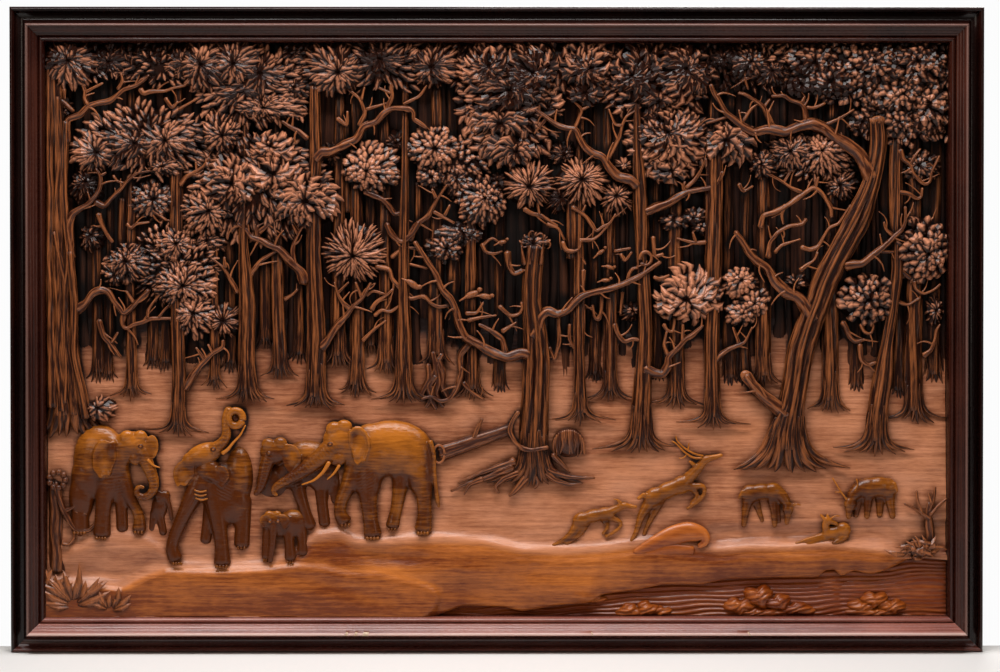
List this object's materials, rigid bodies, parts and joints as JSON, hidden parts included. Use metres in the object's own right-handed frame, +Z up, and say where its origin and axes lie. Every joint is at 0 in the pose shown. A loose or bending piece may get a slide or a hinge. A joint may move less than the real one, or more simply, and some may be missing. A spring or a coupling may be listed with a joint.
{
  "type": "carved wall panel",
  "caption": "Framed deep-relief wall panel carved in teak: a forest of tall trees and foliage over elephants and deer beside a stream.",
  "frame": {"origin": "middle of the flat back of the top rail, where the panel bears on the wall", "axes": "+X to the viewer's right along the long side, +Z up, +Y into the wall; the carving faces -Y"},
  "size_m": [1.94, 0.1, 1.286],
  "materials": {
    "carved_teak": "stained and varnished carved teak, dark in the hollows",
    "frame_teak": "dark red-brown polished teak moulding"
  },
  "bodies": {
    "root": {"carved_panel": "carved_teak", "frame_top": "frame_teak", "frame_bottom": "frame_teak", "frame_left": "frame_teak", "frame_right": "frame_teak"}
  },
  "joints": []
}
